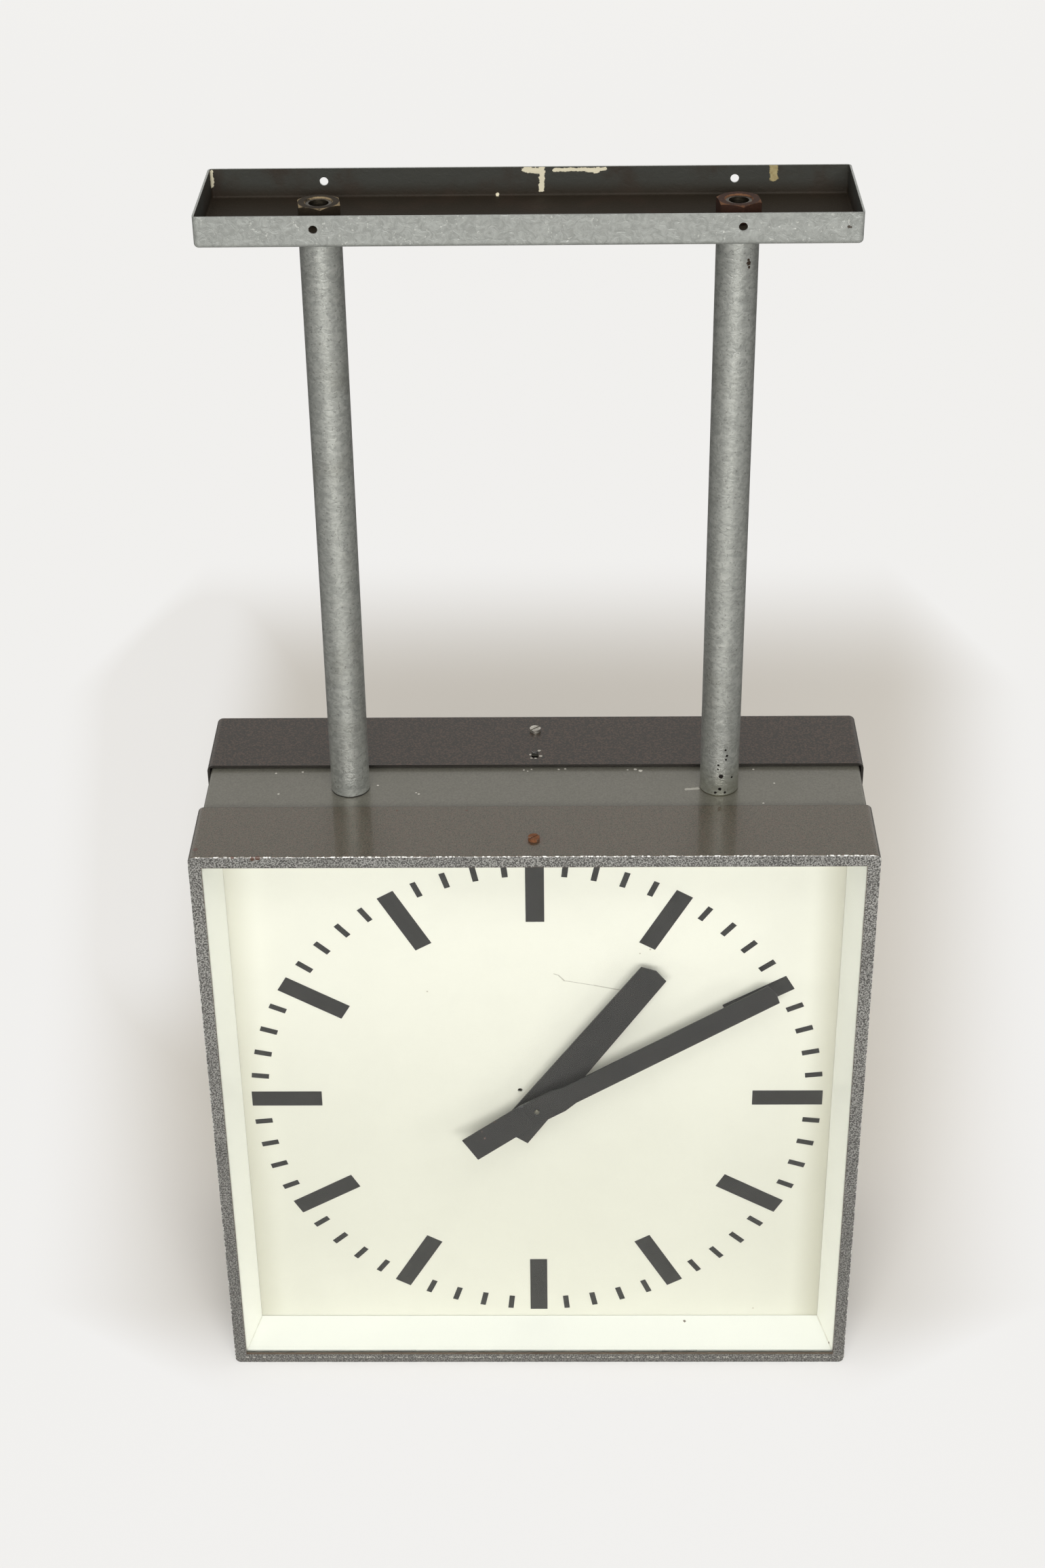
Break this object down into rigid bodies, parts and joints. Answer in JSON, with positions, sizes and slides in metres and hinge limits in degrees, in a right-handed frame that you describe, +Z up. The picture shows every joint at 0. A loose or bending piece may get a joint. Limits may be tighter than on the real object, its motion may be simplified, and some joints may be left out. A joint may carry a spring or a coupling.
{
  "type": "double sided station clock",
  "caption": "Double-sided square station clock with cream bar-marked dials and black hands, hung by tubes from a shallow ceiling tray.",
  "frame": {"origin": "middle of the case's footprint, on the plane that the covers' undersides rest on", "axes": "+Z up towards the ceiling tray, -Y out of the front dial, +X to the right of someone reading the front dial"},
  "size_m": [0.52, 0.206, 0.998],
  "materials": {
    "cover_paint": "hammered grey-brown stoving paint, worn bright along the edges",
    "case_paint": "hammered mid grey paint",
    "hanger_paint": "hammered light silver-grey paint",
    "dial_paint": "satin cream enamel",
    "bezel_paint": "satin cream enamel",
    "dial_print": "matt black printed bars",
    "hand_paint": "satin black paint",
    "glazing": "clear float glass",
    "screw_steel": "zinc-plated steel, some of it rusty",
    "nut_steel": "dull steel with rust",
    "plate_brass": "brushed brass",
    "gear_brass": "cut brass",
    "arbor_steel": "polished steel",
    "core_iron": "blued lamination steel",
    "magnet_iron": "ground magnet alloy",
    "bobbin_plastic": "black moulded plastic",
    "copper_wire": "enamelled copper wire",
    "terminal_plastic": "ivory moulded plastic"
  },
  "bodies": {
    "case": {"case_ring": "case_paint", "case_roof": "case_paint", "hanger_tube_left": "hanger_paint", "hanger_tube_right": "hanger_paint", "tube_end_plugs": "screw_steel", "tube_nipples": "nut_steel", "lock_nuts": "nut_steel", "top_tray": "hanger_paint", "terminal_block": "terminal_plastic", "dial_brackets": "case_paint", "dial_screws": "screw_steel", "bar_screws": "screw_steel", "plate_pillars": "plate_brass", "plate_screws": "screw_steel", "front_dial": "dial_paint", "front_dial_marks": "dial_print", "front_movement_bar": "case_paint", "front_front_plate": "plate_brass", "front_back_plate": "plate_brass", "front_stator": "core_iron", "front_bobbin": "bobbin_plastic", "front_winding": "copper_wire", "rear_dial": "dial_paint", "rear_dial_marks": "dial_print", "rear_movement_bar": "case_paint", "rear_front_plate": "plate_brass", "rear_back_plate": "plate_brass", "rear_stator": "core_iron", "rear_bobbin": "bobbin_plastic", "rear_winding": "copper_wire"},
    "front_cover": {"front_cover_shell": "cover_paint", "front_glass": "glazing", "front_bezel": "bezel_paint", "front_glass_clips": "screw_steel", "front_cover_screw": "screw_steel", "front_cover_nut": "screw_steel"},
    "front_minute": {"front_minute_arbor": "arbor_steel", "front_minute_wheel": "gear_brass", "front_minute_collet": "gear_brass", "front_minute_hand": "hand_paint"},
    "front_hour": {"front_hour_wheel": "gear_brass", "front_hour_hand": "hand_paint"},
    "front_intermediate": {"front_intermediate_wheel": "gear_brass"},
    "front_rotor": {"front_rotor_pinion": "arbor_steel", "front_rotor_magnet": "magnet_iron"},
    "rear_cover": {"rear_cover_shell": "cover_paint", "rear_glass": "glazing", "rear_bezel": "bezel_paint", "rear_glass_clips": "screw_steel", "rear_cover_screw": "screw_steel", "rear_cover_nut": "screw_steel"},
    "rear_minute": {"rear_minute_arbor": "arbor_steel", "rear_minute_wheel": "gear_brass", "rear_minute_collet": "gear_brass", "rear_minute_hand": "hand_paint"},
    "rear_hour": {"rear_hour_wheel": "gear_brass", "rear_hour_hand": "hand_paint"},
    "rear_intermediate": {"rear_intermediate_wheel": "gear_brass"},
    "rear_rotor": {"rear_rotor_pinion": "arbor_steel", "rear_rotor_magnet": "magnet_iron"}
  },
  "joints": [
    {"name": "front_cover_slide", "type": "slide", "parent": "case", "child": "front_cover", "axis": [0, -1, 0], "range_m": [0, 0.12]},
    {"name": "front_minute_turn", "type": "hinge", "parent": "case", "child": "front_minute", "pos_m": [0, -0.05, 0.26], "axis": [0, 1, 0], "continuous": true},
    {"name": "front_hour_turn", "type": "hinge", "parent": "case", "child": "front_hour", "pos_m": [0, -0.05, 0.26], "axis": [0, 1, 0], "continuous": true},
    {"name": "front_intermediate_turn", "type": "hinge", "parent": "case", "child": "front_intermediate", "pos_m": [0, -0.05, 0.276], "axis": [0, 1, 0], "continuous": true},
    {"name": "front_rotor_turn", "type": "hinge", "parent": "case", "child": "front_rotor", "pos_m": [0, -0.05, 0.2248], "axis": [0, 1, 0], "continuous": true},
    {"name": "rear_cover_slide", "type": "slide", "parent": "case", "child": "rear_cover", "axis": [0, 1, 0], "range_m": [0, 0.12]},
    {"name": "rear_minute_turn", "type": "hinge", "parent": "case", "child": "rear_minute", "pos_m": [0, 0.05, 0.26], "axis": [0, -1, 0], "continuous": true},
    {"name": "rear_hour_turn", "type": "hinge", "parent": "case", "child": "rear_hour", "pos_m": [0, 0.05, 0.26], "axis": [0, -1, 0], "continuous": true},
    {"name": "rear_intermediate_turn", "type": "hinge", "parent": "case", "child": "rear_intermediate", "pos_m": [0, 0.05, 0.276], "axis": [0, -1, 0], "continuous": true},
    {"name": "rear_rotor_turn", "type": "hinge", "parent": "case", "child": "rear_rotor", "pos_m": [0, 0.05, 0.2248], "axis": [0, -1, 0], "continuous": true}
  ],
  "couplings": [
    {"joint": "front_hour_turn", "follows": "front_minute_turn", "ratio": 0.083333},
    {"joint": "front_intermediate_turn", "follows": "front_minute_turn", "ratio": -0.33333},
    {"joint": "front_rotor_turn", "follows": "front_minute_turn", "ratio": -10},
    {"joint": "rear_hour_turn", "follows": "rear_minute_turn", "ratio": 0.083333},
    {"joint": "rear_intermediate_turn", "follows": "rear_minute_turn", "ratio": -0.33333},
    {"joint": "rear_rotor_turn", "follows": "rear_minute_turn", "ratio": -10}
  ]
}
